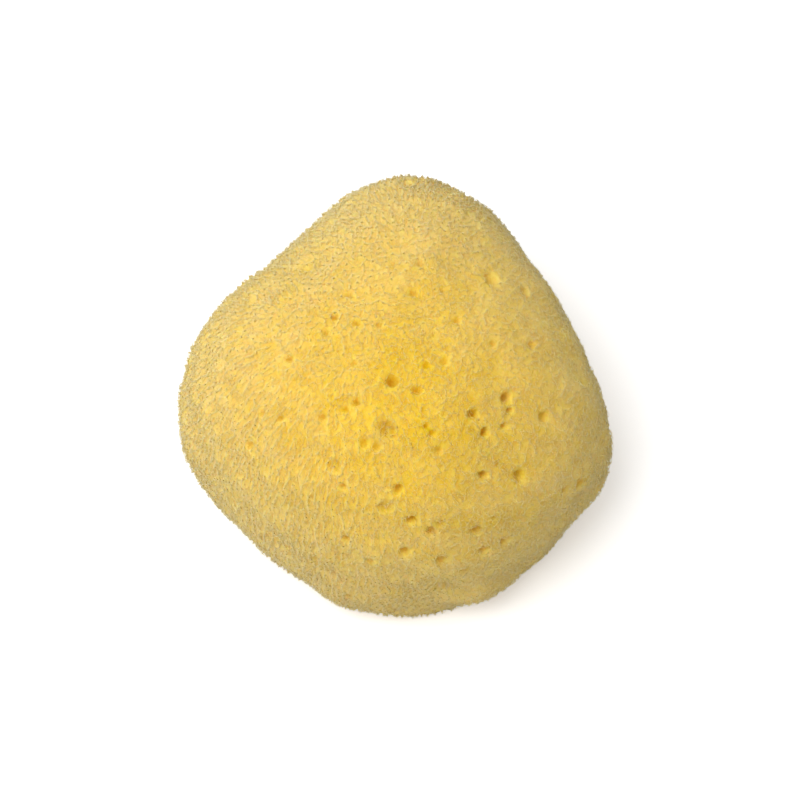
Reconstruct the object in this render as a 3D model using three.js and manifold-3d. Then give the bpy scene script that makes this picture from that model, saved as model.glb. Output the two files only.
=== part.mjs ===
// Sea sponge: one rounded, lobed dome of fine spongin, cut off flat where it grew on the rock.
// Millimetres, +Z up. The origin is the centre of the box round the sponge, on the cut base.
// The solid is the outer shape, out to the tips of the fibres that cover it.

import * as THREE from "three";
import { mergeVertices } from "three/addons/utils/BufferGeometryUtils.js";
import Module from "manifold-3d";

// Driving dimensions.
const HEIGHT = 37; // top of the dome above the cut
const GIRTH_LEVEL = 14; // height of the widest level above the cut
const GIRTH_RADIUS = 25.5; // mean radius at the widest level
const ROUNDNESS = 2.3; // power of the profile: 2 is an ellipse, more is fuller
const UNDER_DEPTH = 20; // how far below the girth the underside would close
const FRONT_DEPTH = 10; // added to that in front, where the flank runs down almost upright
const FRONT = -90; // direction of that steep flank, in degrees from +X
const SURFACE_STEPS = 15; // times each edge of the starting icosahedron is split
const CUT_ALLOWANCE = 30; // how far the cutting block reaches past the sponge

// The lobes of the outline: waves round the girth, the swell of each, and where one of them crests.
const LOBES = [
  { waves: 2, swell: 0.35, crest: 100 },
  { waves: 3, swell: 1.6, crest: 80 },
  { waves: 4, swell: 1.15, crest: 85 },
];

// Swells and hollows: the way they face, how wide they are, and how far they stand out or in.
const MOUNDS = [
  { heading: -18, rise: 2, width: 14, swell: 0.8 },
  { heading: 28, rise: 34, width: 15, swell: 0.6 },
  { heading: -62, rise: 12, width: 13, swell: 0.5 },
  { heading: -132, rise: 30, width: 15, swell: 0.4 },
  { heading: 160, rise: 35, width: 17, swell: 0.5 },
  { heading: 75, rise: 38, width: 16, swell: 0.5 },
  { heading: -80, rise: -12, width: 8, swell: -0.7 },
  { heading: -40, rise: 38, width: 14, swell: -0.5 },
  { heading: 2, rise: 20, width: 12, swell: -0.5 },
  { heading: 128, rise: 20, width: 15, swell: -0.4 },
  { heading: -65, rise: -16, width: 10, swell: 1 },
  { heading: -108, rise: -18, width: 10, swell: 0.7 },
  { heading: -165, rise: 0, width: 10, swell: 0.7 },
  { heading: -20, rise: -6, width: 8, swell: 0.5 },
  { heading: 74, rise: 22, width: 12, swell: -0.8 },
];

// The cosine of the angle from a crest, for a wave that repeats so many times round the girth.
function wave(azimuth, waves, crest) {
  return Math.cos(waves * (azimuth - THREE.MathUtils.degToRad(crest)));
}

// Radius of the girth in one direction: the mean radius and the swell of every lobe.
function girthRadius(azimuth) {
  return LOBES.reduce(
    (radius, lobe) => radius + lobe.swell * wave(azimuth, lobe.waves, lobe.crest),
    GIRTH_RADIUS,
  );
}

// Depth at which the underside would close in one direction, greatest in front.
function underDepth(azimuth) {
  const towardsFront = (1 + wave(azimuth, 1, FRONT)) / 2;
  return UNDER_DEPTH + FRONT_DEPTH * towardsFront ** 2;
}

// The unit direction with one heading round from +X and one rise above the level, both in degrees.
function facing(heading, rise) {
  const turn = THREE.MathUtils.degToRad(heading);
  const lift = THREE.MathUtils.degToRad(rise);
  const level = Math.cos(lift);
  return new THREE.Vector3(level * Math.cos(turn), level * Math.sin(turn), Math.sin(lift));
}

// Height of the mounds in one direction: each falls off as a bell with the angle from its middle.
function moundHeight(direction) {
  return MOUNDS.reduce((height, mound) => {
    const angle = direction.angleTo(facing(mound.heading, mound.rise));
    const widths = angle / THREE.MathUtils.degToRad(mound.width);
    return height + mound.swell * Math.exp(-(widths ** 2));
  }, 0);
}

// How far the surface lies from the middle of the girth in one direction. Across, it is the girth
// radius; up and down, the dome's height or the underside's depth; between, a fuller ellipse.
function surfaceDistance(direction) {
  const azimuth = Math.atan2(direction.y, direction.x);
  const across = Math.hypot(direction.x, direction.y) / girthRadius(azimuth);
  const reach = direction.z > 0 ? HEIGHT - GIRTH_LEVEL : underDepth(azimuth);
  const along = Math.abs(direction.z) / reach;
  return (across ** ROUNDNESS + along ** ROUNDNESS) ** (-1 / ROUNDNESS) + moundHeight(direction);
}

// The whole rounded body, before it is cut: an even sphere of triangles, each corner moved out.
function roundedBody() {
  const geometry = new THREE.IcosahedronGeometry(1, SURFACE_STEPS);
  geometry.deleteAttribute("normal");
  geometry.deleteAttribute("uv");
  const body = mergeVertices(geometry);
  const corners = body.getAttribute("position");
  for (let i = 0; i < corners.count; i += 1) {
    const corner = new THREE.Vector3().fromBufferAttribute(corners, i).normalize();
    corner.multiplyScalar(surfaceDistance(corner));
    corners.setXYZ(i, corner.x, corner.y, corner.z + GIRTH_LEVEL);
  }
  return body;
}

// The block that is taken away below the cut.
function groundBlock() {
  const side = 2 * (GIRTH_RADIUS + CUT_ALLOWANCE);
  const block = new THREE.BoxGeometry(side, side, CUT_ALLOWANCE);
  block.translate(0, 0, -CUT_ALLOWANCE / 2);
  block.deleteAttribute("normal");
  block.deleteAttribute("uv");
  return mergeVertices(block);
}

// A closed geometry as a solid, and a solid's surface as a geometry.
function toSolid(wasm, geometry) {
  const vertProperties = new Float32Array(geometry.getAttribute("position").array);
  const triVerts = new Uint32Array(geometry.getIndex().array);
  return new wasm.Manifold(new wasm.Mesh({ numProp: 3, vertProperties, triVerts }));
}

function toGeometry(solid) {
  const surface = solid.getMesh();
  const geometry = new THREE.BufferGeometry();
  geometry.setAttribute("position", new THREE.BufferAttribute(surface.vertProperties, 3));
  geometry.setIndex(new THREE.BufferAttribute(surface.triVerts, 1));
  return geometry;
}

// The sponge: the rounded body less the ground block, moved so that its box is centred on the axis.
function spongeGeometry(wasm) {
  const cut = toSolid(wasm, roundedBody()).subtract(toSolid(wasm, groundBlock()));
  const geometry = toGeometry(cut);
  geometry.computeBoundingBox();
  const middle = geometry.boundingBox.getCenter(new THREE.Vector3());
  geometry.translate(-middle.x, -middle.y, 0);
  geometry.computeVertexNormals();
  return geometry;
}

const wasm = await Module();
wasm.setup();

const spongin = new THREE.MeshStandardMaterial({ color: 0xe9cd6a, roughness: 0.95, metalness: 0 });
const sponge = new THREE.Mesh(spongeGeometry(wasm), spongin);
sponge.name = "sponge";

const part = new THREE.Group();
part.add(sponge);

export default part;
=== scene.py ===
"""A small silk sea sponge: a lobed dome of fine spongin fibre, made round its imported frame.

The sponge is one grown body. Its surface is worked out here as the real one grows: conules, which
are the small points that the skeleton raises, ridges that run from one conule to the next, round
pores between them, and the fibres that stand on all of it. Lengths are in metres.
"""

import functools
import math

import bpy
import numpy as np
from bpy.props import FloatProperty, FloatVectorProperty, IntProperty, PointerProperty
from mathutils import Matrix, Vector


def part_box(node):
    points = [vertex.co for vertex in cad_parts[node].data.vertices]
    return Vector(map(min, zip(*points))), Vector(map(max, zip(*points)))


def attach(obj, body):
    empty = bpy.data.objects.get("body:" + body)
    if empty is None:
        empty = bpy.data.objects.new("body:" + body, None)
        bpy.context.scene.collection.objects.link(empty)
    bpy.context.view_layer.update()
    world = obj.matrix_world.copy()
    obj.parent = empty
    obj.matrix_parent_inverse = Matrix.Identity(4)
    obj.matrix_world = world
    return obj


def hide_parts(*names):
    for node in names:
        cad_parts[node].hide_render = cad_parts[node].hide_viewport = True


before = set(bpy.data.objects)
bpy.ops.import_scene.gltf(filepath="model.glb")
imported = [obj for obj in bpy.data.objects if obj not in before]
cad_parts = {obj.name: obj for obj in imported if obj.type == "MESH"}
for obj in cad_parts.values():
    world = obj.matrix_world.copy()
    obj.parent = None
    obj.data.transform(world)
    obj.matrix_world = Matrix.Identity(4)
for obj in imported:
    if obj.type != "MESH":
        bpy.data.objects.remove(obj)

bl_info = {
    "name": "Silk Sea Sponge",
    "version": (1, 0, 0),
    "blender": (4, 5, 0),
    "location": "3D View > Sidebar > Sponge",
    "description": "Grows a silk sea sponge round its frame, and lights it on a pale floor",
    "category": "Add Mesh",
}

MM = 0.001
NODE = "sponge"
BODY = "root"
FIBRE_MAP = "OFBake"

LOW, HIGH = (np.array(corner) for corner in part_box(NODE))
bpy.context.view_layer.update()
WIDTH = float((HIGH - LOW)[:2].mean())
HEIGHT = float(HIGH[2] - LOW[2])

# The area above the cut in square metres, and the share of its spacing squared that each of a set
# of evenly spread points takes up.
AREA = 5.2e-3
PACKING = 0.87

# Headings and rises in degrees: where the sponge is mostly seen from, its golden part, and where
# its ridges and its conules are weakest. The golden part is painted light: it lies where the sponge
# faces the camera, and the spongin is coloured more golden there and paler towards its rims.
ABOVE_FRONT = (-90, 65)
GOLDEN_PAINTED_LIGHT = (-85, 62)
LEAST_RIDGED = (-25, 30)
LEAST_STANDING = (-25, 25)

# A placed pore's depth as a share of its width times its depth share, and how deep its opening
# lies, as a share of the body's own depth there.
PLACED_DEPTH = 0.52
OPENING_DEPTH = 1.4

CANALS = 26

# The lobes of the outline: waves round the girth, the swell of each, and where one of them crests.
LOBES = ((2, 0.35 * MM, 100), (3, 1.6 * MM, 80), (4, 1.15 * MM, 85))

# Swells and hollows of the body: heading, rise and width in degrees, and how far each stands out.
MOUNDS = (
    (-18, 2, 14, 0.8 * MM), (28, 34, 15, 0.6 * MM), (-62, 12, 13, 0.5 * MM),
    (-132, 30, 15, 0.4 * MM), (160, 35, 17, 0.5 * MM), (75, 38, 16, 0.5 * MM),
    (-80, -12, 8, -0.7 * MM), (-40, 38, 14, -0.5 * MM), (2, 20, 12, -0.5 * MM),
    (128, 20, 15, -0.4 * MM), (-65, -16, 10, 1.0 * MM), (-108, -18, 10, 0.7 * MM),
    (-165, 0, 10, 0.7 * MM), (-20, -6, 8, 0.5 * MM), (74, 22, 12, -0.8 * MM),
)

# The pores that show most: heading and rise in degrees, width in mm, and depth as a share of it.
# Heading and rise are where the pore's opening, seen from above the front, meets the outer surface.
PORES = (
    # the crown
    (-95, 70, 1.3, 2.2), (-115, 62, 0.9, 1.8), (-76, 67, 0.9, 1.8), (-61, 73, 1.0, 0.9),
    (-95, 57, 1.8, 0.7), (-76, 57, 0.7, 1.6), (-74, 55, 0.8, 1.6), (-132, 71, 0.8, 1.0),
    (-119, 59, 0.8, 1.2), (59, 81, 1.1, 1.3), (70, 71, 0.9, 1.0), (-2, 73, 0.9, 1.0),
    (-46, 71, 0.9, 1.0), (179, 72, 0.8, 1.4), (-168, 69, 0.8, 1.3), (153, 74, 0.8, 1.2),
    (-171, 78, 0.8, 1.2), (-155, 84, 0.8, 1.2),
    # the right shoulder
    (-52, 55, 1.1, 2.0), (-35, 52, 1.2, 2.0), (-52, 49, 1.1, 1.8), (-60, 39, 1.1, 1.8),
    (-49, 33, 1.4, 1.2), (-30, 40, 1.3, 0.9), (-38, 49, 0.7, 1.6), (-44, 47, 0.7, 1.6),
    (-73, 50, 0.9, 1.0), (29, 58, 1.5, 0.8), (-7, 51, 1.1, 1.2), (-14, 62, 0.9, 1.0),
    (20, 49, 1.1, 0.9), (-33, 15, 1.6, 1.0), (-38, 18, 1.2, 0.9),
    # the front
    (-90, 41, 1.0, 2.0), (-86, 32, 1.2, 1.6), (-80, 28, 1.1, 1.5), (-77, 30, 0.8, 1.4),
    (-67, 25, 1.2, 1.4), (-60, 17, 1.2, 1.5), (-88, 22, 1.4, 1.2), (-66, 17, 1.2, 1.3),
    (-78, 17, 1.5, 0.9), (-72, 10, 1.4, 1.2), (-78, 3, 2.6, 0.4), (-94, 36, 1.8, 0.5),
    (-105, 52, 0.9, 1.0), (-99, 52, 0.9, 1.0), (-98, 16, 1.1, 0.9),
    # the left
    (-161, 57, 0.9, 1.5), (-127, 54, 0.8, 1.4), (-142, 46, 0.8, 1.4), (-148, 43, 0.8, 1.2),
    (-144, 34, 1.0, 1.3), (-105, 23, 1.1, 1.3), (-114, 8, 0.9, 1.3), (-109, 39, 0.7, 1.6),
    (-114, 44, 1.6, 0.5),
)


class SpongeShape(bpy.types.PropertyGroup):
    """The form of the sponge as a whole."""

    girth_radius: FloatProperty(
        name="Girth radius", description="Mean radius at the widest level",
        default=0.949 * WIDTH / 2, unit="LENGTH")
    girth_level: FloatProperty(
        name="Girth level", description="Height of the widest level above the cut",
        default=0.378 * HEIGHT, unit="LENGTH")
    height: FloatProperty(
        name="Height", description="Top of the dome above the cut",
        default=HEIGHT, unit="LENGTH")
    roundness: FloatProperty(
        name="Roundness", description="Power of the profile: 2 is an ellipse, more is fuller",
        default=2.3, min=1.5, max=4)
    under_depth: FloatProperty(
        name="Under depth", description="How far below the girth the underside would close",
        default=0.5405 * HEIGHT, unit="LENGTH")
    front_depth: FloatProperty(
        name="Front depth", description="Added to the under depth where the flank is steepest",
        default=0.2703 * HEIGHT, unit="LENGTH")


class SpongeSurface(bpy.types.PropertyGroup):
    """The relief of the sponge's surface and the fibres on it."""

    conule_spacing: FloatProperty(
        name="Conule spacing", description="Distance from one conule to the next",
        default=0.86 * MM, unit="LENGTH", precision=5)
    ridge_height: FloatProperty(
        name="Ridge height", description="Height of the conules above the hollows between them",
        default=0.36 * MM, unit="LENGTH", precision=5)
    ridge_width: FloatProperty(
        name="Ridge width", description="Half the width of a ridge",
        default=0.3 * MM, unit="LENGTH", precision=5)
    swell: FloatProperty(
        name="Swell", description="Depth of the soft hollows a few millimetres wide",
        default=0.45 * MM, unit="LENGTH", precision=5)
    mesh_width: FloatProperty(
        name="Mesh width", description="Distance between the knots of the net",
        default=0.53 * MM, unit="LENGTH", precision=5)
    fuzz: FloatProperty(
        name="Fuzz", description="How far the fibre tips stand above the conules",
        default=0.42 * MM, unit="LENGTH", precision=5)
    fibre_radius: FloatProperty(
        name="Fibre radius", description="Radius of a fibre at its root",
        default=0.04 * MM, unit="LENGTH", precision=6)
    felt: IntProperty(
        name="Felt fibres", description="Number of loose fibres that curl over the surface",
        default=18000, min=0)
    pores: IntProperty(
        name="Small pores", description="Number of small pores besides those that are placed",
        default=220, min=0)
    seed: IntProperty(name="Seed", description="Starts every random draw", default=7)


class SpongeColours(bpy.types.PropertyGroup):
    """The colours of the spongin, from the fibre tips to the inside of the pores; the darker deep
    colour is painted shade.
    """

    tip: FloatVectorProperty(
        name="Tips", description="Colour of the fibre tips", subtype="COLOR", size=3,
        default=(0.95, 0.77, 0.27), min=0, max=1)
    crest: FloatVectorProperty(
        name="Crests", description="Colour of the ridges and fibre roots", subtype="COLOR",
        size=3, default=(0.90, 0.635, 0.10), min=0, max=1)
    # Painted shade: the deep colour is darker and more golden than the crests, and stands in for
    # shade and light bounced about inside the pores and hollows.
    deep: FloatVectorProperty(
        name="Deep shade", description="Colour inside the pores", subtype="COLOR", size=3,
        default=(0.82, 0.55, 0.03), min=0, max=1)
    roughness: FloatProperty(
        name="Roughness", description="Roughness of the dry fibre", default=0.8, min=0, max=1)


class SpongeStudio(bpy.types.PropertyGroup):
    """The floor, the lights and the camera."""

    distance: FloatProperty(
        name="Camera distance", description="From the camera to the sponge",
        default=0.4, unit="LENGTH")
    elevation: FloatProperty(
        name="Camera elevation", description="Angle of the camera above the floor",
        default=math.radians(65), subtype="ANGLE")
    view_width: FloatProperty(
        name="View width", description="Width that the camera takes in",
        default=1.81 * WIDTH, unit="LENGTH")
    key: FloatProperty(name="Key", description="Power of the key light", default=2.85, unit="POWER")
    fill: FloatProperty(name="Fill", description="Strength of the light all round", default=0.63)
    floor_glow: FloatProperty(
        name="Floor glow", description="The floor's own light, as the camera sees it",
        default=0.3, min=0)
    floor_bounce: FloatProperty(
        name="Floor bounce", description="Share of its light that the floor gives back",
        default=0.66, min=0, max=1)
    floor: FloatProperty(
        name="Floor", description="Grey level of the floor, as the camera sees it",
        default=0.94, min=0, max=1)


# ---- the outer form

def facing(heading, rise):
    """Unit directions from headings round from +X and rises above the level, in degrees."""
    turn, lift = np.radians(heading), np.radians(rise)
    return np.stack([np.cos(lift) * np.cos(turn), np.cos(lift) * np.sin(turn), np.sin(lift)], -1)


def unit(vectors):
    """Each vector divided by its length."""
    return vectors / np.linalg.norm(vectors, axis=-1, keepdims=True)


def outer_distance(shape, directions):
    """How far the outer surface lies from the middle of the girth.

    Across, it is the girth radius with a cosine wave for each lobe. Up, it is the dome's height
    above the girth, and down it is the under depth, greatest in front. Between, it follows a
    superellipse of the given roundness. Each mound adds a bell of the angle from its middle.
    """
    azimuth = np.arctan2(directions[..., 1], directions[..., 0])
    radius = shape.girth_radius + sum(
        swell * np.cos(waves * (azimuth - np.radians(crest))) for waves, swell, crest in LOBES)
    towards_front = (1 + np.cos(azimuth + np.pi / 2)) / 2
    below = shape.under_depth + shape.front_depth * towards_front ** 2
    reach = np.where(directions[..., 2] > 0, shape.height - shape.girth_level, below)
    across = np.hypot(directions[..., 0], directions[..., 1]) / radius
    along = np.abs(directions[..., 2]) / reach
    distance = (across ** shape.roundness + along ** shape.roundness) ** (-1 / shape.roundness)
    for heading, rise, width, swell in MOUNDS:
        cosine = np.clip(directions @ facing(heading, rise), -1, 1)
        distance = distance + swell * np.exp(-(np.arccos(cosine) / np.radians(width)) ** 2)
    return distance


def raw_points(shape, directions):
    """Points of the outer surface, before they are centred in the frame."""
    points = directions * outer_distance(shape, directions)[..., None]
    points[..., 2] += shape.girth_level
    return points


@functools.lru_cache(maxsize=1)
def centring():
    """The shift and the scale that bring the formula's box onto the frame's box."""
    heading, rise = np.meshgrid(np.linspace(-180, 180, 361), np.linspace(-60, 90, 301))
    points = raw_points(settings().shape, facing(heading, rise)).reshape(-1, 3)
    points = points[points[:, 2] >= 0]
    low, high = points.min(0), points.max(0)
    low[2] = 0
    scale = (HIGH - LOW) / (high - low)
    return LOW - low * scale, scale


def outer_points(directions):
    """Points of the outer surface in the frame, one for each direction from the girth's middle."""
    shift, scale = centring()
    return raw_points(settings().shape, directions) * scale + shift


def middle():
    """The middle of the girth in the frame."""
    shift, scale = centring()
    return np.array([0, 0, settings().shape.girth_level]) * scale + shift


def directions_to(points):
    """The directions in which these points lie from the girth's middle."""
    return unit((points - middle()) / centring()[1])


def outer_normals(directions):
    """Outward normals: the cross product of two small steps over the surface."""
    helper = np.where(np.abs(directions[..., 2:]) > 0.9, (1.0, 0, 0), (0, 0, 1.0))
    side = unit(np.cross(directions, helper))
    upward = np.cross(directions, side)
    step = 1e-3
    here = outer_points(directions)
    along_side = outer_points(unit(directions + step * side)) - here
    along_up = outer_points(unit(directions + step * upward)) - here
    normals = unit(np.cross(along_side, along_up))
    return normals * np.sign((normals * directions).sum(-1, keepdims=True))


def cut_rise(azimuths):
    """The rise at which the outer surface meets the cut, by halving the range again and again."""
    lowest, highest = np.full_like(azimuths, -80.0), np.zeros_like(azimuths)
    for _ in range(30):
        rise = (lowest + highest) / 2
        above = outer_points(facing(np.degrees(azimuths), rise))[..., 2] > 0
        highest = np.where(above, rise, highest)
        lowest = np.where(above, lowest, rise)
    return (lowest + highest) / 2


def soft_step(share):
    """A share held from 0 to 1 with soft ends: three times its square less twice its cube."""
    share = np.clip(share, 0, 1)
    return share * share * (3 - 2 * share)


def seeded(step):
    """A random draw of its own for each step of growth."""
    return np.random.default_rng(settings().surface.seed + step)


def settings():
    """The scene's own settings for the sponge."""
    return bpy.context.scene.silk_sponge


# ---- scatter and nearest points

def nearest(sites, queries, count, cell):
    """The nearest sites to each query: their indices and distances, nearest first.

    Sites are sorted into cubes of the given side, and each query looks in the 27 cubes round it.
    Where fewer are found, the distance is infinite.
    """
    origin = np.minimum(sites.min(0), queries.min(0)) - 2 * cell
    spans = np.ceil((np.maximum(sites.max(0), queries.max(0)) - origin) / cell).astype(int) + 3
    stride = np.array([spans[1] * spans[2], spans[2], 1])
    site_keys = np.floor((sites - origin) / cell).astype(int) @ stride
    order = np.argsort(site_keys, kind="stable")
    sorted_keys = site_keys[order]
    query_cubes = np.floor((queries - origin) / cell).astype(int)
    found, gaps = [], []
    for step in np.ndindex(3, 3, 3):
        keys = (query_cubes + np.array(step) - 1) @ stride
        first = np.searchsorted(sorted_keys, keys, "left")
        last = np.searchsorted(sorted_keys, keys, "right")
        for i in range(int((last - first).max())):
            index = order[np.minimum(first + i, len(order) - 1)]
            gap = np.linalg.norm(sites[index] - queries, axis=1)
            found.append(index)
            gaps.append(np.where(first + i < last, gap, np.inf))
    found, gaps = np.stack(found, 1), np.stack(gaps, 1)
    best = np.argsort(gaps, axis=1)[:, :count]
    return np.take_along_axis(found, best, 1), np.take_along_axis(gaps, best, 1)


def scatter(count, draw, rounds=5):
    """Directions of points spread evenly over the sponge above the cut.

    Random points are drawn in proportion to the area that each direction sees. In each round
    every point then moves away from its six nearest neighbours, most from the closest.
    """
    trial = unit(draw.normal(size=(12 * count, 3)))
    points = outer_points(trial)
    seen = np.abs((outer_normals(trial) * trial).sum(1))
    area = ((points - middle()) ** 2).sum(1) / np.maximum(seen, 0.2)
    area[points[:, 2] < 0] = 0
    chosen = draw.choice(len(trial), count, replace=False, p=area / area.sum())
    directions = trial[chosen]
    spacing = math.sqrt(AREA / count)
    for _ in range(rounds):
        points = outer_points(directions)
        index, gap = nearest(points, points, 7, 2.2 * spacing)
        index, gap = index[:, 1:], gap[:, 1:]
        away = points[:, None] - points[index]
        push = np.where(np.isfinite(gap), np.clip(1.5 * spacing / np.maximum(gap, 1e-6) - 1, 0, 2), 0)
        points = points + 0.12 * (away * push[..., None]).sum(1)
        points[:, 2] = np.maximum(points[:, 2], 0.1 * MM)
        directions = directions_to(points)
    return directions


def slope_direction(directions, normals):
    """The way straight down the slope, along the surface."""
    down = np.array([0, 0, -1.0]) - normals * -normals[..., 2:]
    return unit(down + 1e-9 * directions)


def ridged(directions):
    """How much the surface is ridged down its slope: 1 on the flanks and in front to the left."""
    flank = np.clip((0.95 - directions[..., 2]) / 0.3, 0, 1)
    left = np.clip(1.2 - 1.3 * (directions @ facing(*LEAST_RIDGED)), 0.25, 1)
    return flank * left


def standing(directions):
    """How far the conules stand out of the felt: 1 on the left, and less than half on the right."""
    return np.clip(1.1 - 1.1 * (directions @ facing(*LEAST_STANDING)), 0.4, 1)


# ---- growth

@functools.lru_cache(maxsize=1)
def pores():
    """Directions, radii and depths of the pores: those that are placed, and small ones between."""
    surface = settings().surface
    draw = seeded(0)
    placed = np.array(PORES)
    directions = scatter(surface.pores, draw, rounds=8)
    radii = draw.uniform(0.12, 0.24, len(directions)) * MM
    clear = (directions @ facing(placed[:, 0], placed[:, 1]).T).max(1) < math.cos(0.07)
    behind = directions @ facing(*ABOVE_FRONT) < 0.25
    large = draw.random(len(directions)) < 0.3
    radii = np.where(behind & large, draw.uniform(0.4, 0.75, len(directions)) * MM, radii)
    share = draw.uniform(0.4, 0.9, len(directions))
    directions = np.concatenate([sunk(facing(placed[:, 0], placed[:, 1])), directions[clear]])
    radii_all = np.concatenate([placed[:, 2] / 2 * MM, radii[clear]])
    depths = np.concatenate(
        [PLACED_DEPTH * placed[:, 2] * placed[:, 3] * MM, 2 * radii[clear] * share[clear]])
    return directions, radii_all, depths


def sunk(directions):
    """Directions moved so that a pore's opening comes in line with its place on the outer surface.

    The opening lies a little way under the outer surface. The point goes out along the normal by
    that depth and back along the view to the surface: the normal less the view over their cosine.
    """
    surface = settings().surface
    points, normals = outer_points(directions), outer_normals(directions)
    depth = OPENING_DEPTH * (swell_drop(points) + surface.fuzz + surface.ridge_height / 2)
    view = facing(*ABOVE_FRONT)
    seen = np.maximum(normals @ view, 0.4)[:, None]
    return directions_to(points + depth[:, None] * (normals - view / seen))


def clear_of_pores(points, least):
    """Which points lie so many radii or more from a pore, or by one that is no more than a dip."""
    pore, share = nearest_pore(points)
    _, radii, depths = pores()
    return (share > least) | (depths[pore] < 0.75 * radii[pore])


def links(points, directions, normals, count, spacing):
    """The neighbours that each point is joined to, as many as count.

    They are the nearest, where the surface is ridged down its slope measured so that a neighbour
    up or down the slope counts as nearer than one across it.
    """
    index, gap = nearest(points, points, 9, 2.4 * spacing)
    index, gap = index[:, 1:], gap[:, 1:]
    offset = points[index] - points[:, None]
    down = slope_direction(directions, normals)[:, None]
    along = np.abs((offset * down).sum(-1))
    stretch = 0.75 * ridged(directions)[:, None]
    felt = np.sqrt(np.maximum(gap ** 2 - (1 - (1 - stretch) ** 2) * along ** 2, 0))
    felt = np.where(np.isfinite(gap), felt, np.inf)
    best = np.argsort(felt, axis=1)[:, :count]
    return np.take_along_axis(index, best, 1)


@functools.lru_cache(maxsize=1)
def conules():
    """The conules and the ridges between them.

    Each conule has a direction, a point on the outer surface and a height as a share of the
    ridge height, and two ridges run from it to its neighbours.
    """
    surface = settings().surface
    draw = seeded(1)
    count = int(AREA / (PACKING * surface.conule_spacing ** 2))
    directions = scatter(count, draw)
    directions = directions[clear_of_pores(outer_points(directions), 1.15)]
    points, normals = outer_points(directions), outer_normals(directions)
    ends = links(points, directions, normals, 2, surface.conule_spacing)
    height = draw.uniform(0.55, 1.0, len(points)) * (0.5 + 0.5 * standing(directions))
    return directions, points, normals, ends, height


def nearest_pore(points):
    """The nearest pore to each point, and how far off it is in radii of that pore."""
    directions, radii, _ = pores()
    centres = outer_points(directions)
    index, gap = nearest(centres, points, 4, 3.2 * MM)
    share = gap / radii[index]
    best = np.argmin(share, axis=1)[:, None]
    return np.take_along_axis(index, best, 1)[:, 0], np.take_along_axis(share, best, 1)[:, 0]


def swells(points):
    """Soft swells a few millimetres wide: a sum of sine waves in several directions."""
    draw = seeded(2)
    total = np.zeros(len(points))
    for width in (9, 6.5, 4.6, 3.4, 2.5):
        for _ in range(3):
            way = unit(draw.normal(size=3))
            total += width * np.sin(points @ way * 2 * np.pi / (width * MM) + draw.uniform(0, 6.3))
    return total / 30


def paleness_and_painted_light(points):
    """How pale the spongin is, from 0 to 1.

    It is golden in front of the crown, by a bell of the angle from there, paler on the flanks, and
    cloudy with swells. The bell is painted light: the spongin is coloured golden where the sponge
    faces the camera and paler towards its rims, as light through the fuzz shows it. The swells are
    its own uneven tone.
    """
    directions = directions_to(points)
    angle = np.degrees(np.arccos(np.clip(directions @ facing(*GOLDEN_PAINTED_LIGHT), -1, 1)))
    return np.clip(1 - 0.9 * np.exp(-(angle / 50) ** 2) + 0.15 * swells(points * 1.9), 0, 1)


def swell_drop(points):
    """How far the swells leave the body below the outer surface, which is nothing on their tops."""
    return settings().surface.swell * (0.5 - 0.5 * np.tanh(1.6 * swells(points)))


def relief(points):
    """How far the body lies below the outer surface, and how deep that is from 0 to 1; that depth
    only colours the body, as painted shade that is darker between the ridges and in the pores.

    The height of the ridges is the greatest, over the ridges near by, of a bell of the distance
    from the ridge's line, lower half way between its two conules. A pore takes the surface down
    by its depth, with a soft rim and a steep wall.
    """
    surface = settings().surface
    _, sites, _, ends, height = conules()
    index, _ = nearest(sites, points, 9, 1.7 * surface.conule_spacing)
    raised = np.zeros(len(points))
    for i in range(index.shape[1]):
        start = sites[index[:, i]]
        for j in range(ends.shape[1]):
            far = ends[index[:, i], j]
            line = sites[far] - start
            share = np.clip(((points - start) * line).sum(1) / (line ** 2).sum(1), 0, 1)
            off = np.linalg.norm(start + share[:, None] * line - points, axis=1)
            crest = height[index[:, i]] * (1 - share) + height[far] * share
            crest = crest * (1 - 2 * share * (1 - share))
            raised = np.maximum(raised, crest * np.exp(-(off / surface.ridge_width) ** 2))
    below = swell_drop(points) + surface.fuzz + surface.ridge_height * (1 - raised)
    pore, gap = nearest_pore(points)
    gap = gap * (1 + 0.22 * swells(points * 4.7))
    depths = pores()[2]
    well = soft_step((1.35 - gap) / 0.9)
    below = below + depths[pore] * well
    # Painted shade: a colour depth, high between the ridges and down in the pores, darkens the
    # spongin there.
    deep = np.clip(0.55 * (1 - raised) + well * np.clip(depths[pore] / (0.9 * MM), 0, 1), 0, 1)
    return below, deep


# ---- the body

def square_to_ring(steps):
    """For each point of a square grid, its place, its heading, and its share out to the rim.

    The grid's sides are even in the tangent of the angle, so that its rim meets a ring whose
    columns are evenly spaced in angle.
    """
    side = np.tan(np.linspace(-np.pi / 4, np.pi / 4, steps + 1))
    x, y = np.meshgrid(side, side, indexing="ij")
    return x, y, np.arctan2(y, x), np.maximum(np.abs(x), np.abs(y))


def cap_indices(steps, ring, first):
    """Vertex numbers of a square cap whose rim is a ring that is already there.

    The ring starts at the corner that faces -45 degrees, and runs anticlockwise with one column
    for each step of each side.
    """
    numbers = np.zeros((steps + 1, steps + 1), int)
    numbers[1:-1, 1:-1] = first + np.arange((steps - 1) ** 2).reshape(steps - 1, steps - 1)
    numbers[-1, :-1] = ring[:steps]
    numbers[:0:-1, -1] = ring[steps:2 * steps]
    numbers[0, :0:-1] = ring[2 * steps:3 * steps]
    numbers[:-1, 0] = ring[3 * steps:]
    return numbers


def quads(numbers):
    """The four corners of each square of a grid of vertex numbers."""
    return np.stack([numbers[:-1, :-1], numbers[1:, :-1], numbers[1:, 1:], numbers[:-1, 1:]],
                    -1).reshape(-1, 4)


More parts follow.
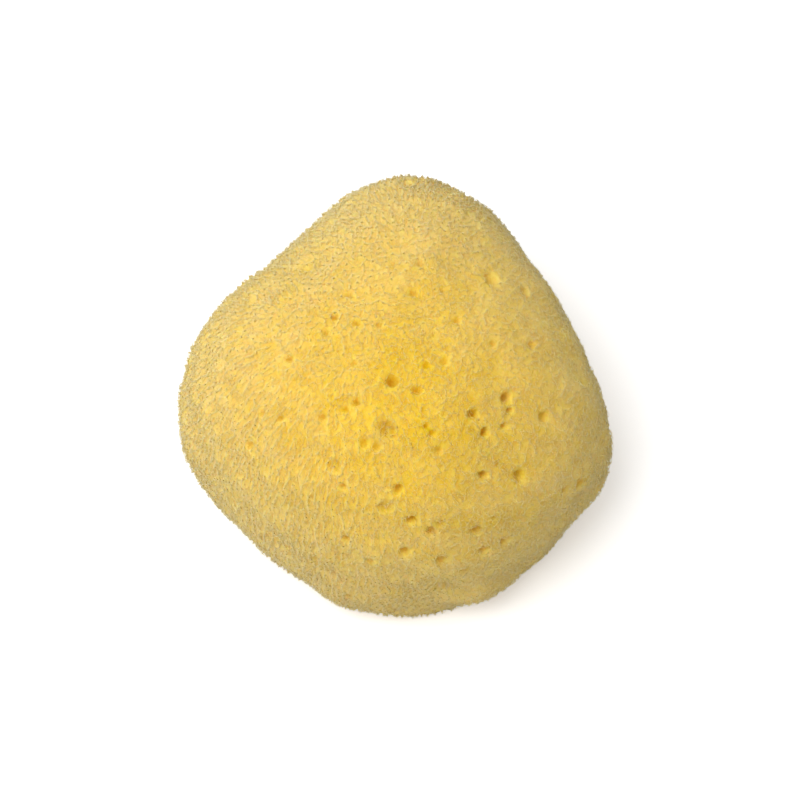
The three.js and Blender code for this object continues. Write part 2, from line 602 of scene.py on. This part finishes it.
def drawn_to_pores(directions):
    """Directions moved towards the nearest pore, so that its wall gets more of the surface."""
    points = outer_points(directions)
    pore, gap = nearest_pore(points)
    centres, _, _ = pores()
    pull = np.where(np.isfinite(gap), 0.4 * np.exp(-(gap / 1.6) ** 2), 0)
    return unit(directions + pull[:, None] * (centres[pore] - directions))


def body_mesh(steps=130, rows=118):
    """The body as a ring of columns from the crown to the cut, closed by a cap at each end.

    The ring's columns are evenly spaced headings, and its rows run from the edge of the crown's
    square down to the cut. The crown is a square of directions that fans out by its tangents, and
    the cut face a square of points that shrinks the cut's outline towards its middle.
    """
    around = 4 * steps
    columns = np.arange(around) * (np.pi / 2 / steps) - np.pi / 4
    within = (columns + np.pi / 4) % (np.pi / 2) - np.pi / 4
    top = np.degrees(np.arctan(np.cos(within)))
    bottom = cut_rise(columns)
    share = np.linspace(0, 1, rows + 1)[:, None]
    ring = facing(np.degrees(columns)[None] + 0 * share, top + (bottom - top) * share)
    x, y, heading, out = square_to_ring(steps)
    crown = unit(np.stack([x, y, np.ones_like(x)], -1))[1:-1, 1:-1].reshape(-1, 3)
    moved = drawn_to_pores(np.concatenate([ring[:-1].reshape(-1, 3), crown]))
    directions = np.concatenate([moved[:rows * around], ring[-1], moved[rows * around:]])
    points = outer_points(directions)
    below, deep = relief(points)
    points = points - outer_normals(directions) * below[:, None]
    points[:, 2] = np.maximum(points[:, 2], 0)
    edge = slice(rows * around, (rows + 1) * around)
    points[edge, 2] = 0
    rim = points[edge, :2]
    turn = np.mod(heading[1:-1, 1:-1].ravel() - columns[0], 2 * np.pi) / (np.pi / 2 / steps)
    before = np.floor(turn).astype(int) % around
    part = (turn - np.floor(turn))[:, None]
    outline = rim[before] * (1 - part) + rim[(before + 1) % around] * part
    heart = rim.mean(0)
    flat = heart + (outline - heart) * out[1:-1, 1:-1].ravel()[:, None]
    base = np.concatenate([flat, np.zeros((len(flat), 1))], 1)
    depth, base_painted_shade = base_relief(base, out[1:-1, 1:-1].ravel())
    base[:, 2] = depth
    ring_numbers = np.arange((rows + 1) * around).reshape(rows + 1, around)
    crown_numbers = cap_indices(steps, ring_numbers[0], ring_numbers.size)
    base_numbers = cap_indices(steps, ring_numbers[-1], ring_numbers.size + len(crown))
    closed = np.concatenate([ring_numbers, ring_numbers[:, :1]], 1)
    faces = np.concatenate([quads(closed), quads(crown_numbers), quads(base_numbers)[:, ::-1]])
    points = np.concatenate([points, base])
    return points, faces, np.concatenate([deep, base_painted_shade]), paleness_and_painted_light(points)


def base_relief(points, out):
    """How far the cut face is hollowed, and how deep that is from 0 to 1, which colours it as painted
    shade.

    Canals open through it as round wells, and between them it is finely pitted. Both die away
    towards the rim.
    """
    draw = seeded(3)
    radius = 0.72 * WIDTH / 2
    angle = np.arange(CANALS) * 2.4
    away = radius * np.sqrt((np.arange(CANALS) + 0.6) / CANALS)
    centres = np.stack([away * np.cos(angle), away * np.sin(angle)], 1)
    centres += draw.uniform(-1.2, 1.2, centres.shape) * MM
    radii = draw.uniform(0.5, 1.5, CANALS) * MM
    gap = np.linalg.norm(points[:, None, :2] - centres, axis=2) / radii
    well = soft_step((1.2 - gap.min(1)) / 0.5)
    pits = np.clip(swells(points * 3.1) + swells(points * 5.3 + 0.01), 0, 1)
    inner = np.clip((1 - out) / 0.06, 0, 1)
    depth = inner * (2.6 * MM * well + 0.35 * MM * pits)
    # Painted shade: the wells and pits are coloured darker by this depth.
    return depth, np.clip(well + 0.6 * pits, 0, 1) * inner


def add_piece(name, points, faces, material):
    """A mesh object of these points and faces that rides on the sponge's body."""
    mesh = bpy.data.meshes.new(name)
    mesh.from_pydata(points, [], faces)
    mesh.validate()
    mesh.shade_smooth()
    mesh.materials.append(material)
    piece = bpy.data.objects.new(name, mesh)
    bpy.context.scene.collection.objects.link(piece)
    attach(piece, BODY)
    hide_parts(NODE)
    return piece


# ---- fibres

SIDES = 3
SHADES = 48


def fibre_arrays(paths, radii, shades):
    """Strands as closed, tapered tubes with three sides, and where each corner lies on the map.

    A path is the middle of each ring and then the tip. Each ring is three corners round its
    middle, at right angles to the line from root to tip. The root is closed by a triangle, and
    the tip is one point. On the map each strand fills the column of its shade, root at the bottom.
    """
    count, rings = len(paths), paths.shape[1] - 1
    chord = unit(paths[:, -1] - paths[:, 0])
    helper = np.where(np.abs(chord[:, 2:]) > 0.8, (1.0, 0, 0), (0, 0, 1.0))
    side = unit(np.cross(chord, helper))
    other = np.cross(chord, side)
    angle = np.arange(SIDES) * 2 * np.pi / SIDES
    spoke = (np.cos(angle)[:, None] * side[:, None] + np.sin(angle)[:, None] * other[:, None])
    corners = paths[:, :-1, None] + radii[:, :, None, None] * spoke[:, None]
    points = np.concatenate([corners.reshape(count, -1, 3), paths[:, -1:]], 1)
    level, turn = np.divmod(np.arange((rings - 1) * SIDES), SIDES)
    last, here = np.full(SIDES, rings - 1), np.arange(SIDES)
    levels = np.concatenate([np.stack(three, 1) for three in (
        (level, level, level + 1), (level, level + 1, level + 1), (last, last, last + 1))])
    turns = np.concatenate([np.stack(three, 1) for three in (
        (turn, turn + 1, turn + 1), (turn, turn + 1, turn), (here, here + 1, here))])
    faces = np.where(levels == rings, rings * SIDES, levels * SIDES + turns % SIDES)
    faces = np.concatenate([faces, [[2, 1, 0]]])
    map_root = np.array([[[0.9, 0.0], [0.5, 0.04], [0.1, 0.0]]])
    template = np.concatenate([np.stack([turns / SIDES, levels / rings], -1), map_root])
    template[..., 0] = 0.08 + 0.84 * template[..., 0]
    places = np.broadcast_to(template, (count, *template.shape)).copy()
    places[..., 0] = (places[..., 0] + shades[:, None, None]) / SHADES
    places[..., 1] = 0.01 + 0.98 * places[..., 1]
    numbers = faces[None] + np.arange(count)[:, None, None] * (rings * SIDES + 1)
    return points.reshape(-1, 3), numbers.reshape(-1, 3), places.reshape(-1, 2)


def add_fibres(name, paths, radii, material, most=190_000):
    """Adds strands as as few pieces as hold them within the most triangles for a piece.

    The shade of a strand is three quarters how pale the spongin is at its root, painted light
    included, and one quarter random.
    """
    draw = np.random.default_rng(len(paths))
    shade = 0.75 * paleness_and_painted_light(paths[:, 0]) + 0.25 * draw.random(len(paths))
    shades = np.minimum(shade * SHADES, SHADES - 1).astype(int)
    per_strand = (paths.shape[1] - 2) * 2 * SIDES + SIDES + 1
    pieces = math.ceil(len(paths) * per_strand / most)
    for i, part in enumerate(np.array_split(draw.permutation(len(paths)), pieces)):
        points, faces, places = fibre_arrays(paths[part], radii[part], shades[part])
        points[:, 2] = np.maximum(points[:, 2], LOW[2] + 0.02 * MM)
        piece = add_piece(f"{name}_{i + 1}", points, faces, material)
        layer = piece.data.uv_layers.new(name=FIBRE_MAP)
        layer.uv.foreach_set("vector", places.astype(np.float32).ravel())


def bent(start, bend, end, rings):
    """Points along quadratic curves from start to end, drawn towards bend."""
    share = np.linspace(0, 1, rings + 1)[None, :, None]
    start, bend, end = start[:, None], bend[:, None], end[:, None]
    return (1 - share) ** 2 * start + 2 * share * (1 - share) * bend + share ** 2 * end


def tuft_paths(per_conule=8):
    """Short fibres that rise round each conule and lean together into its point."""
    surface = settings().surface
    draw = seeded(4)
    directions, points, normals, _, height = conules()
    pick = np.repeat(np.arange(len(points)), per_conule)
    out = unit(np.cross(normals[pick], draw.normal(size=(len(pick), 3))))
    spread = surface.conule_spacing * draw.uniform(0.0, 0.3, len(pick))[:, None]
    base = points[pick] + out * spread
    below, _ = relief(base)
    root = base - normals[pick] * (below + 0.06 * MM)[:, None]
    crest = swell_drop(points)[pick] + surface.ridge_height * (1 - height[pick])
    share = draw.uniform(0.25, 1.0, len(pick)) ** 0.8 * (0.35 + 0.65 * standing(directions)[pick])
    tip_level = crest + surface.fuzz * (1 - share)
    stray = unit(draw.normal(size=(len(pick), 3))) * surface.conule_spacing * 0.08
    stray -= normals[pick] * np.maximum((stray * normals[pick]).sum(1, keepdims=True), 0)
    tip = points[pick] - normals[pick] * tip_level[:, None] + stray + out * spread * 0.15
    radii = surface.fibre_radius * draw.uniform(0.9, 1.5, len(pick))[:, None]
    return bent(root, (root + tip) / 2, tip, 1), radii


def ridge_paths():
    """Fibres that run along each ridge from one conule to the next, sagging a little between."""
    surface = settings().surface
    draw = seeded(5)
    directions, points, normals, ends, height = conules()
    start = np.repeat(np.arange(len(points)), ends.shape[1])
    far = ends.reshape(-1)
    apart = np.linalg.norm(points[start] - points[far], axis=1)
    chance = 0.35 + 0.65 * ridged(directions)[start]
    keep = (apart < 2.2 * surface.conule_spacing) & (draw.random(len(start)) < chance)
    start, far = start[keep], far[keep]
    drop = swell_drop(points)

    def end_point(i):
        """The conule's point, lowered by its level and moved a little at random."""
        level = drop[i] + surface.fuzz * 0.68 + surface.ridge_height * (1 - height[i])
        level = level * draw.uniform(0.8, 1.1, len(i))
        jitter = draw.normal(size=(len(i), 3)) * 0.08 * surface.conule_spacing
        return points[i] - normals[i] * level[:, None] + jitter

    a, b = end_point(start), end_point(far)
    across = unit(np.cross(normals[start], b - a))
    sway = draw.normal(size=(len(start), 1)) * 0.14 * surface.conule_spacing
    sag = draw.uniform(0.0, 0.5, (len(start), 1)) * surface.ridge_height
    bend = (a + b) / 2 + across * sway - normals[start] * sag
    radii = surface.fibre_radius * draw.uniform(0.6, 1.0, len(start))[:, None]
    return bent(a, bend, b, 2), radii * np.array([0.6, 1.0])


def net_paths():
    """The net between the ridges: fibres from each knot to its two nearest neighbours.

    Knots lie at random heights just above the body, and outside the pores.
    """
    surface = settings().surface
    draw = seeded(7)
    count = int(AREA / (PACKING * surface.mesh_width ** 2))
    directions = scatter(count, draw, rounds=2)
    outer = outer_points(directions)
    clear = clear_of_pores(outer, 0.95)
    directions, outer = directions[clear], outer[clear]
    normals = outer_normals(directions)
    below, _ = relief(outer)
    lift = draw.uniform(0.0, 0.4, len(outer)) * surface.fuzz * (2 - standing(directions))
    knots = outer - normals * (below - lift)[:, None]
    ends = links(knots, directions, normals, 2, surface.mesh_width)
    start, far = np.repeat(np.arange(len(knots)), 2), ends.reshape(-1)
    keep = np.linalg.norm(knots[start] - knots[far], axis=1) < 2.4 * surface.mesh_width
    start, far = start[keep], far[keep]
    arch = draw.uniform(-0.1, 0.3, (len(start), 1)) * surface.mesh_width
    across = unit(np.cross(normals[start], knots[far] - knots[start]))
    sway = draw.normal(size=(len(start), 1)) * 0.15 * surface.mesh_width
    bend = (knots[start] + knots[far]) / 2 + normals[start] * arch + across * sway
    past = knots[far] + 0.25 * (knots[far] - bend)
    radii = surface.fibre_radius * draw.uniform(0.7, 1.1, (len(start), 1)) * np.array([0.8, 1.0])
    return bent(knots[start], bend, past, 2), radii


def felt_paths():
    """Loose fibres all over the body: each rises out of it, then curls over along the surface.

    Where the surface is ridged, they lie more along the slope.
    """
    surface = settings().surface
    draw = seeded(6)
    directions = scatter(surface.felt, draw, rounds=0)
    outer = outer_points(directions)
    clear = clear_of_pores(outer, 1.0)
    directions, outer = directions[clear], outer[clear]
    normals = outer_normals(directions)
    below, _ = relief(outer)
    count = len(outer)
    lie = unit(np.cross(normals, draw.normal(size=(count, 3))))
    either = np.where(draw.random(count) < 0.5, 1.0, -1.0) * 1.4 * ridged(directions)
    lie = unit(lie + either[:, None] * slope_direction(directions, normals))
    length = draw.uniform(0.4, 0.9, (count, 1)) * MM
    lift = np.radians(draw.uniform(4, 30, (count, 1)) * (2.2 - 1.2 * standing(directions)[:, None]))
    root = outer - normals * (below[:, None] + 0.06 * MM)
    tip = root + length * (np.cos(lift) * lie + np.sin(lift) * normals)
    tip -= normals * np.maximum(((tip - outer) * normals).sum(1, keepdims=True), 0)
    side = np.cross(normals, lie) * draw.normal(size=(count, 1)) * 0.25
    bend = root + length * (0.3 * normals * draw.uniform(0.3, 1, (count, 1)) + 0.35 * lie + side)
    radii = surface.fibre_radius * draw.uniform(0.5, 0.85, (count, 1)) * np.array([1.0, 0.85])
    return bent(root, bend, tip, 2), radii


# ---- materials

def add_node(tree, kind, inputs):
    """A node with its inputs by name or number: a socket is linked in, and a value is set."""
    node = tree.nodes.new(kind)
    for name, value in inputs.items():
        if isinstance(value, bpy.types.NodeSocket):
            tree.links.new(value, node.inputs[name])
        else:
            node.inputs[name].default_value = value
    return node


def ranged(tree, value, low, high, start=0.0, end=1.0):
    """A value's range from start to end carried onto low to high, and held within it."""
    return add_node(tree, "ShaderNodeMapRange", {
        "Value": value, "From Min": start, "From Max": end, "To Min": low, "To Max": high,
    }).outputs[0]


def attribute(tree, name):
    """The value that the mesh holds under this name at each of its points."""
    node = tree.nodes.new("ShaderNodeAttribute")
    node.attribute_name = name
    return node.outputs["Fac"]


def spongin_group():
    """Node group: the colour of spongin by depth, stronger where golden and weaker where pale.

    The colour by depth is painted shade: it runs from the tip colour through the crest colour to the
    darker, more golden deep colour. A shade of 0 is golden and 1 is pale, and paler spongin is also a
    little rougher.
    """
    if "Spongin" in bpy.data.node_groups:
        return bpy.data.node_groups["Spongin"]
    tree = bpy.data.node_groups.new("Spongin", "ShaderNodeTree")
    for way, labels, kind in (
            ("INPUT", ("Depth", "Shade", "Roughness"), "NodeSocketFloat"),
            ("INPUT", ("Tip", "Crest", "Deep shade"), "NodeSocketColor"),
            ("OUTPUT", ("Color",), "NodeSocketColor"), ("OUTPUT", ("Roughness",), "NodeSocketFloat")):
        for label in labels:
            tree.interface.new_socket(label, in_out=way, socket_type=kind)
    given = tree.nodes.new("NodeGroupInput").outputs
    result = tree.nodes.new("NodeGroupOutput").inputs
    depth, shade = given["Depth"], given["Shade"]
    # Painted shade: the greater the depth, the darker and more golden the colour.
    outer = mix_node(tree, given["Tip"], given["Crest"], ranged(tree, depth, 0, 1, end=0.5))
    inner = mix_node(tree, outer, given["Deep shade"], ranged(tree, depth, 0, 1, start=0.5))
    # The shade tints the colour, more saturated and a little darker towards golden: painted light
    # where it follows the sponge's facing, and its own uneven tone where it is random.
    tint = add_node(tree, "ShaderNodeHueSaturation", {
        "Saturation": ranged(tree, shade, 1.06, 0.86), "Value": ranged(tree, shade, 0.96, 1.0),
        "Color": inner})
    rough = add_node(tree, "ShaderNodeMath", {
        0: given["Roughness"], 1: ranged(tree, shade, -0.08, 0.08)})
    tree.links.new(tint.outputs["Color"], result["Color"])
    tree.links.new(rough.outputs[0], result["Roughness"])
    return tree


def mix_node(tree, first, second, factor):
    """A colour mix of two sockets by a third, and its output."""
    mix = tree.nodes.new("ShaderNodeMix")
    mix.data_type = "RGBA"
    tree.links.new(factor, mix.inputs["Factor"])
    tree.links.new(first, mix.inputs["A"])
    tree.links.new(second, mix.inputs["B"])
    return mix.outputs["Result"]


def spongin_material(name):
    """A material with the spongin group feeding its shader: the tree, the group and the shader."""
    colours = settings().colours
    material = bpy.data.materials.new(name)
    material.use_nodes = True
    tree = material.node_tree
    shader = tree.nodes["Principled BSDF"]
    group = tree.nodes.new("ShaderNodeGroup")
    group.node_tree = spongin_group()
    for label, colour in (("Tip", colours.tip), ("Crest", colours.crest), ("Deep shade", colours.deep)):
        group.inputs[label].default_value = (*colour, 1)
    group.inputs["Roughness"].default_value = colours.roughness
    tree.links.new(group.outputs["Color"], shader.inputs["Base Color"])
    tree.links.new(group.outputs["Roughness"], shader.inputs["Roughness"])
    for label, value in (("Specular IOR Level", 0.15), ("Sheen Weight", 0.1),
                         ("Sheen Roughness", 0.45), ("Sheen Tint", (1.0, 0.93, 0.66, 1))):
        shader.inputs[label].default_value = value
    return material, tree, group, shader


def scatter_light(shader, weight, depth, radius):
    """Lets light through the spongin, by its own radius for red, green and blue."""
    shader.inputs["Subsurface Weight"].default_value = weight
    shader.inputs["Subsurface Radius"].default_value = radius
    shader.inputs["Subsurface Scale"].default_value = depth


def body_material():
    """The body: colour by its depth, with painted shade in its hollows and dimples, shade by how pale
    it is, with its painted light, and a cloud, and felted grain as bump.
    """
    material, tree, group, shader = spongin_material("spongin_body")
    place = tree.nodes.new("ShaderNodeTexCoord").outputs["Object"]
    cloud = add_node(tree, "ShaderNodeTexNoise", {"Vector": place, "Scale": 260, "Detail": 4})
    felt = add_node(tree, "ShaderNodeTexNoise", {
        "Vector": place, "Scale": 5200, "Detail": 3, "Distortion": 0.6})
    cells = add_node(tree, "ShaderNodeTexVoronoi", {"Vector": place, "Scale": 1 / (0.55 * MM)})
    dimple_with_painted_shade = ranged(tree, cells.outputs["Distance"], 0.45, 0, end=0.55)
    # Painted shade: the dimples add to the colour depth at the middle of each cell, darker and more
    # golden there.
    total = add_node(tree, "ShaderNodeMath", {0: attribute(tree, "depth"), 1: dimple_with_painted_shade})
    # The pale attribute, which holds painted light, with a cloud of uneven tone, sets the shade.
    cloudy = add_node(tree, "ShaderNodeMath", {
        0: attribute(tree, "pale"), 1: ranged(tree, cloud.outputs["Fac"], -0.2, 0.2)})
    tree.links.new(ranged(tree, total.outputs[0], 0.25, 0.85), group.inputs["Depth"])
    tree.links.new(cloudy.outputs[0], group.inputs["Shade"])
    height = add_node(tree, "ShaderNodeMath", {0: felt.outputs["Fac"], 1: dimple_with_painted_shade})
    height.operation = "SUBTRACT"
    bump = add_node(tree, "ShaderNodeBump", {
        "Strength": 0.7, "Distance": 0.15 * MM, "Height": height.outputs[0]})
    tree.links.new(bump.outputs["Normal"], shader.inputs["Normal"])
    scatter_light(shader, 0.85, 1.8 * MM, (1.0, 0.75, 0.3))
    return material


def fibre_material(name, root_depth, tip_depth):
    """A fibre: its depth runs from root to tip up its map, and its shade is read across the map. The
    root's greater depth makes it darker and more golden: painted shade.
    """
    material, tree, group, shader = spongin_material(name)
    place = tree.nodes.new("ShaderNodeUVMap")
    place.uv_map = FIBRE_MAP
    split = add_node(tree, "ShaderNodeSeparateXYZ", {0: place.outputs["UV"]})
    tree.links.new(ranged(tree, split.outputs["Y"], root_depth, tip_depth), group.inputs["Depth"])
    tree.links.new(split.outputs["X"], group.inputs["Shade"])
    scatter_light(shader, 0.7, 0.15 * MM, (1.0, 1.0, 0.8))
    return material


# ---- operators

class SPONGE_OT_body(bpy.types.Operator):
    """Add the sponge's body, with its conules, ridges, pores and cut face"""

    bl_idname = "sponge.body"
    bl_label = "Body"

    def execute(self, context):
        points, faces, depth, pale = body_mesh()
        piece = add_piece("sponge_body", points, faces, body_material())
        # The depth attribute carries painted shade and the pale one painted light, into the body's
        # colour.
        for name, values in (("depth", depth), ("pale", pale)):
            layer = piece.data.attributes.new(name, "FLOAT", "POINT")
            layer.data.foreach_set("value", values.astype(np.float32))
        return {"FINISHED"}


class SPONGE_OT_tufts(bpy.types.Operator):
    """Add the fibres that rise into the point of each conule"""

    bl_idname = "sponge.tufts"
    bl_label = "Conule tufts"

    def execute(self, context):
        add_fibres("conule_tufts", *tuft_paths(), fibre_material("spongin_tufts", 0.5, 0.0))
        return {"FINISHED"}


class SPONGE_OT_ridges(bpy.types.Operator):
    """Add the fibres that run along the ridges"""

    bl_idname = "sponge.ridges"
    bl_label = "Ridge fibres"

    def execute(self, context):
        add_fibres("ridge_fibres", *ridge_paths(), fibre_material("spongin_ridges", 0.15, 0.1))
        return {"FINISHED"}


class SPONGE_OT_net(bpy.types.Operator):
    """Add the net of fibres that joins the ridges"""

    bl_idname = "sponge.net"
    bl_label = "Net"

    def execute(self, context):
        add_fibres("net_fibres", *net_paths(), fibre_material("spongin_net", 0.4, 0.15))
        return {"FINISHED"}


class SPONGE_OT_felt(bpy.types.Operator):
    """Add the loose fibres that curl over the surface"""

    bl_idname = "sponge.felt"
    bl_label = "Felt fibres"

    def execute(self, context):
        add_fibres("felt_fibres", *felt_paths(), fibre_material("spongin_felt", 0.55, 0.15))
        return {"FINISHED"}


class SPONGE_OT_stage(bpy.types.Operator):
    """Add the pale floor, the soft lights and the camera"""

    bl_idname = "sponge.stage"
    bl_label = "Stage"

    def execute(self, context):
        studio = settings().studio
        add_floor(studio)
        add_lights(studio)
        add_camera(studio)
        return {"FINISHED"}


def add_floor(studio):
    """A wide flat floor at the level of the cut.

    The camera sees it pale and faintly glowing, and to every other ray it is a plain grey.
    """
    half = 2.0
    square = ((-half, -half), (half, -half), (half, half), (-half, half))
    corners = [(x, y, LOW[2]) for x, y in square]
    mesh = bpy.data.meshes.new("floor")
    mesh.from_pydata(corners, [], [(0, 1, 2, 3)])
    material = bpy.data.materials.new("pale_floor")
    material.use_nodes = True
    tree = material.node_tree
    inputs = tree.nodes["Principled BSDF"].inputs
    inputs["Roughness"].default_value = 1
    inputs["Specular IOR Level"].default_value = 0
    inputs["Emission Color"].default_value = (1, 1, 1, 1)
    seen = tree.nodes.new("ShaderNodeLightPath").outputs["Is Camera Ray"]
    tree.links.new(ranged(tree, seen, studio.floor_bounce, studio.floor), inputs["Base Color"])
    tree.links.new(ranged(tree, seen, 0, studio.floor_glow), inputs["Emission Strength"])
    mesh.materials.append(material)
    floor = bpy.data.objects.new("floor", mesh)
    bpy.context.scene.collection.objects.link(floor)


def aimed(obj, place, target):
    """Places an object and turns its -Z axis at a target."""
    obj.location = place
    obj.rotation_euler = (Vector(target) - Vector(place)).to_track_quat("-Z", "Y").to_euler()
    bpy.context.scene.collection.objects.link(obj)


def add_lights(studio):
    """One large soft key from the upper left, and light all round that is strongest up there.

    The camera sees the surroundings white.
    """
    key = bpy.data.lights.new("key", "AREA")
    key.shape = "DISK"
    key.size = 0.45
    key.energy = studio.key
    aimed(bpy.data.objects.new("key", key), (-0.22, -0.12, 0.64), (0, 0, 0.015))
    world = bpy.data.worlds.new("studio")
    world.use_nodes = True
    tree = world.node_tree
    backdrop = tree.nodes["Background"]
    backdrop.inputs["Color"].default_value = (1, 1, 1, 1)
    way = tree.nodes.new("ShaderNodeTexCoord").outputs["Generated"]
    towards = add_node(tree, "ShaderNodeVectorMath", {0: way, 1: (-0.64, -0.14, 0.755)})
    towards.operation = "DOT_PRODUCT"
    level = ranged(
        tree, towards.outputs["Value"], studio.fill * 0.05, studio.fill * 1.36, start=-1)
    seen = tree.nodes.new("ShaderNodeLightPath").outputs["Is Camera Ray"]
    tree.links.new(ranged(tree, seen, level, 1), backdrop.inputs["Strength"])
    bpy.context.scene.world = world
    bpy.context.scene.view_settings.view_transform = "Standard"
    bpy.context.scene.cycles.diffuse_bounces = 8


def add_camera(studio):
    """The camera, looking steeply down on the sponge from the front."""
    lens = bpy.data.cameras.new("camera")
    lens.sensor_width = 36
    lens.lens = lens.sensor_width * studio.distance / studio.view_width
    camera = bpy.data.objects.new("camera", lens)
    aim = Vector(((LOW[0] + HIGH[0]) / 2, (LOW[1] + HIGH[1]) / 2, 0.43 * HEIGHT))
    aim += Vector((0.6 * MM, -2.3 * MM, 0))
    away = Vector((0, -math.cos(studio.elevation), math.sin(studio.elevation)))
    aimed(camera, aim + studio.distance * away, aim)
    bpy.context.scene.camera = camera


class SpongeSettings(bpy.types.PropertyGroup):
    """All the sponge's settings."""

    shape: PointerProperty(type=SpongeShape, name="Shape", description="The form as a whole")
    surface: PointerProperty(type=SpongeSurface, name="Surface", description="Relief and fibres")
    colours: PointerProperty(type=SpongeColours, name="Colours", description="Spongin colours")
    studio: PointerProperty(type=SpongeStudio, name="Studio", description="Floor, light, camera")


STEPS = (SPONGE_OT_body, SPONGE_OT_tufts, SPONGE_OT_ridges, SPONGE_OT_net, SPONGE_OT_felt,
         SPONGE_OT_stage)


class SPONGE_PT_panel(bpy.types.Panel):
    """Lists the sponge's pieces and its stage"""

    bl_idname = "SPONGE_PT_panel"
    bl_label = "Silk Sea Sponge"
    bl_space_type = "VIEW_3D"
    bl_region_type = "UI"
    bl_category = "Sponge"

    def draw(self, context):
        for step in STEPS:
            self.layout.operator(step.bl_idname)
        for group in (settings().shape, settings().surface, settings().colours, settings().studio):
            box = self.layout.box()
            for name in group.__annotations__:
                box.prop(group, name)


CLASSES = (SpongeShape, SpongeSurface, SpongeColours, SpongeStudio, SpongeSettings, *STEPS,
           SPONGE_PT_panel)


def register():
    """Registers every class and hangs the settings on the scene."""
    for cls in CLASSES:
        bpy.utils.register_class(cls)
    bpy.types.Scene.silk_sponge = PointerProperty(type=SpongeSettings)


def unregister():
    """Takes the settings off the scene and unregisters every class."""
    del bpy.types.Scene.silk_sponge
    for cls in reversed(CLASSES):
        bpy.utils.unregister_class(cls)


def main():
    """Makes every piece and the stage."""
    register()
    bpy.ops.sponge.body()
    bpy.ops.sponge.tufts()
    bpy.ops.sponge.ridges()
    bpy.ops.sponge.net()
    bpy.ops.sponge.felt()
    bpy.ops.sponge.stage()


if __name__ == "__main__":
    main()
